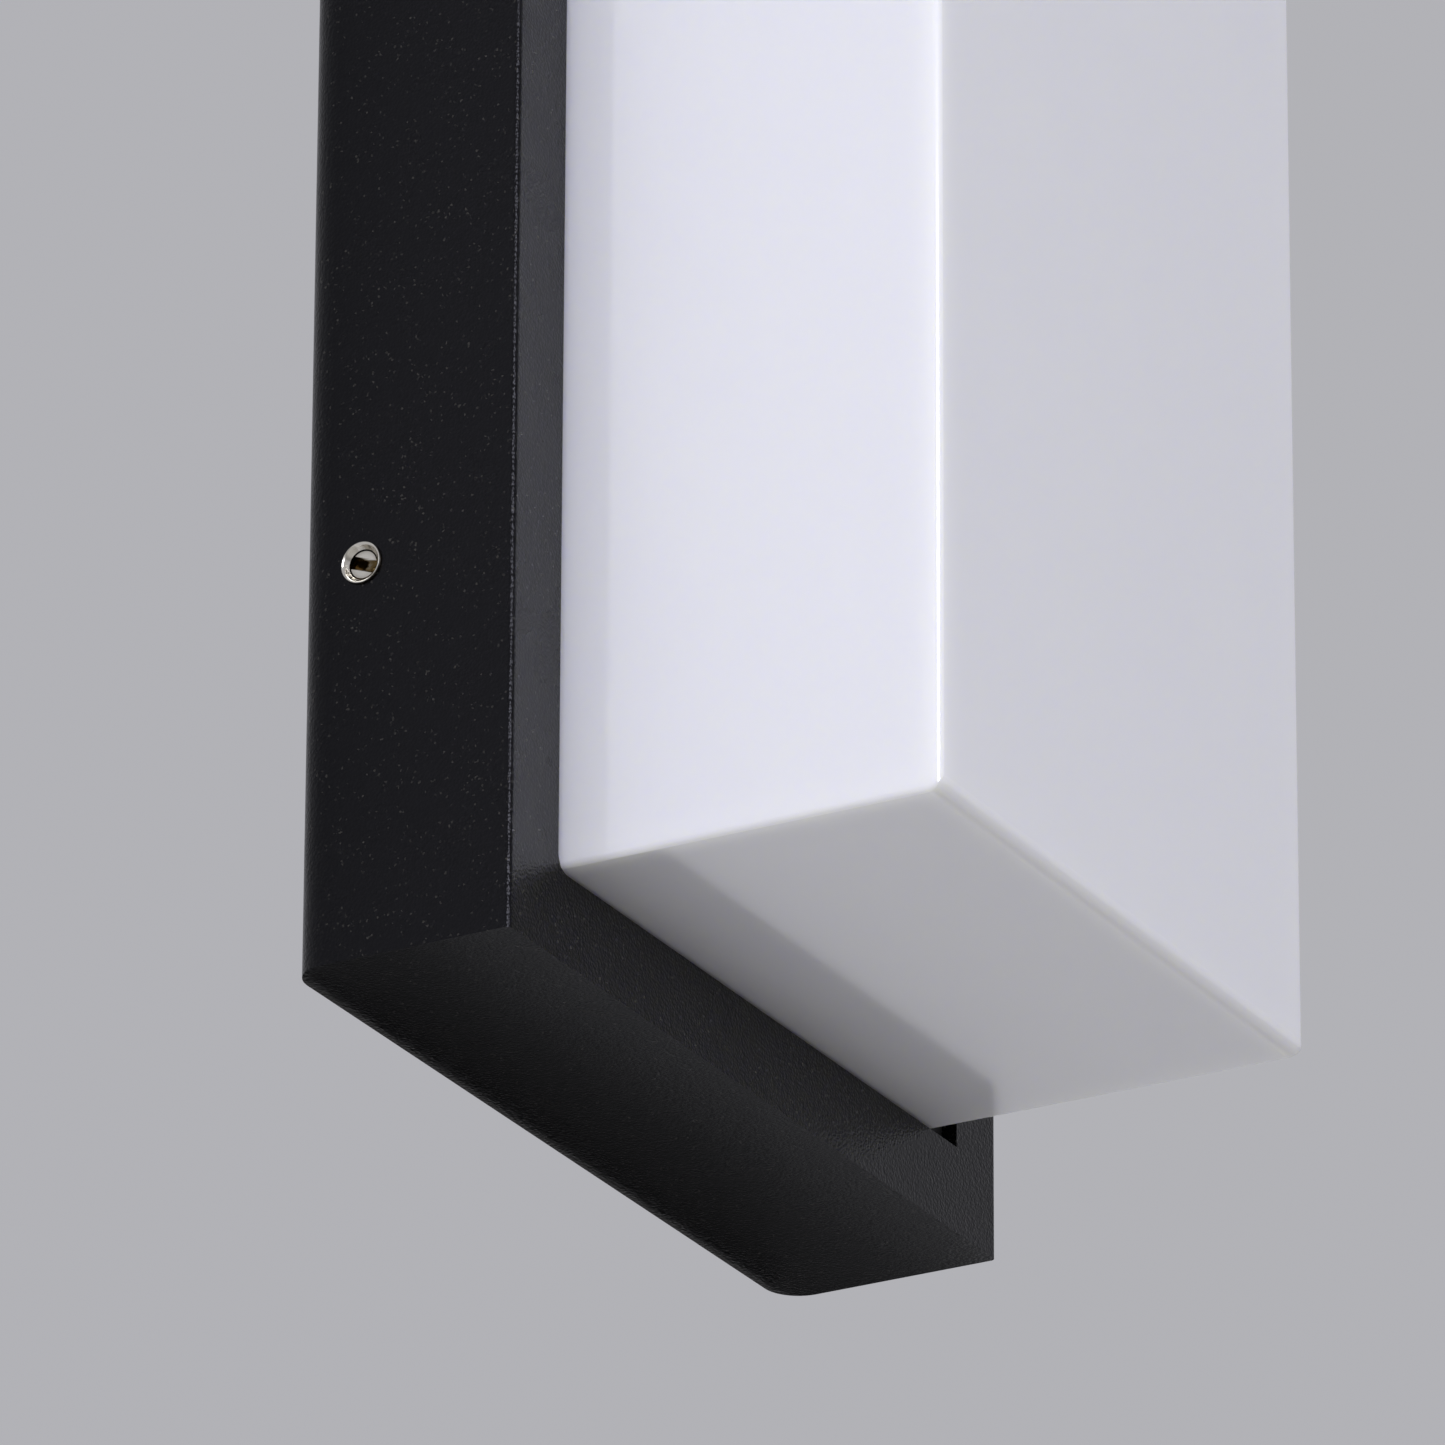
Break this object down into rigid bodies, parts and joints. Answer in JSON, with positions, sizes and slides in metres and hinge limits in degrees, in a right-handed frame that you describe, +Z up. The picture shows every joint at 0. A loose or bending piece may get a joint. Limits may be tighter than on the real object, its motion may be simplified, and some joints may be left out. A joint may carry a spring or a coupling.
{
  "type": "outdoor wall lantern",
  "caption": "Outdoor wall lantern: black textured rectangular housing on a hidden wall bracket, with a push-fit opal box diffuser over an LED board and side set screws.",
  "frame": {"origin": "centre of the bracket's four fixing slots, on the wall's surface", "axes": "+X to the right along the wall seen from the front, +Y into the wall, +Z up the wall"},
  "size_m": [0.131, 0.086, 0.26],
  "materials": {
    "galvanised_steel": "galvanised, satin",
    "black_rubber": "matte",
    "foam_rubber": "matte foam",
    "brass": "satin",
    "stainless_steel": "polished",
    "black_powder_coat": "fine-textured powder coat",
    "white_coated_steel": "smooth white coat",
    "white_board": "white solder mask",
    "led_phosphor": "matte",
    "white_plastic": "matte",
    "grey_plastic": "matte",
    "green_board": "satin",
    "yellow_tape": "satin",
    "capacitor_sleeve": "gloss",
    "ivory_plastic": "matte",
    "lead_brown": "satin",
    "lead_red": "satin",
    "lead_green": "satin",
    "opal_diffuser": "gloss opal"
  },
  "bodies": {
    "bracket": {"wall_bracket": "galvanised_steel", "cable_grommet": "black_rubber", "earth_screw": "brass", "earth_washer": "stainless_steel"},
    "lamp": {"housing": "black_powder_coat", "wall_gasket": "foam_rubber", "diffuser_seal": "black_rubber", "screw_bushes": "stainless_steel", "gear_plate": "white_coated_steel", "gear_plate_screws": "stainless_steel", "plate_grommet": "black_rubber", "led_board": "white_board", "led_chips": "led_phosphor", "led_board_screws": "stainless_steel", "led_connector": "white_plastic", "diffuser_clips": "stainless_steel", "clip_rivets": "stainless_steel", "driver_case": "white_plastic", "driver_lid": "grey_plastic", "driver_board": "green_board", "driver_transformer": "yellow_tape", "driver_capacitors": "capacitor_sleeve", "driver_screws": "stainless_steel", "terminal_block": "ivory_plastic", "terminal_screws": "stainless_steel", "terminal_fixing": "stainless_steel", "mains_leads": "lead_brown", "led_leads": "lead_red", "earth_lead": "lead_green", "plate_earth_screw": "brass"},
    "cover": {"diffuser": "opal_diffuser"},
    "left_screw": {"left_set_screw": "stainless_steel"},
    "right_screw": {"right_set_screw": "stainless_steel"}
  },
  "joints": [
    {"name": "lamp_pull_off", "type": "slide", "parent": "bracket", "child": "lamp", "axis": [0, -1, 0], "range_m": [0, 0.04]},
    {"name": "diffuser_pull_off", "type": "slide", "parent": "lamp", "child": "cover", "axis": [0, -1, 0], "range_m": [0, 0.03]},
    {"name": "left_screw_out", "type": "slide", "parent": "lamp", "child": "left_screw", "axis": [-1, 0, 0], "range_m": [0, 0.012]},
    {"name": "right_screw_out", "type": "slide", "parent": "lamp", "child": "right_screw", "axis": [1, 0, 0], "range_m": [0, 0.012]}
  ]
}
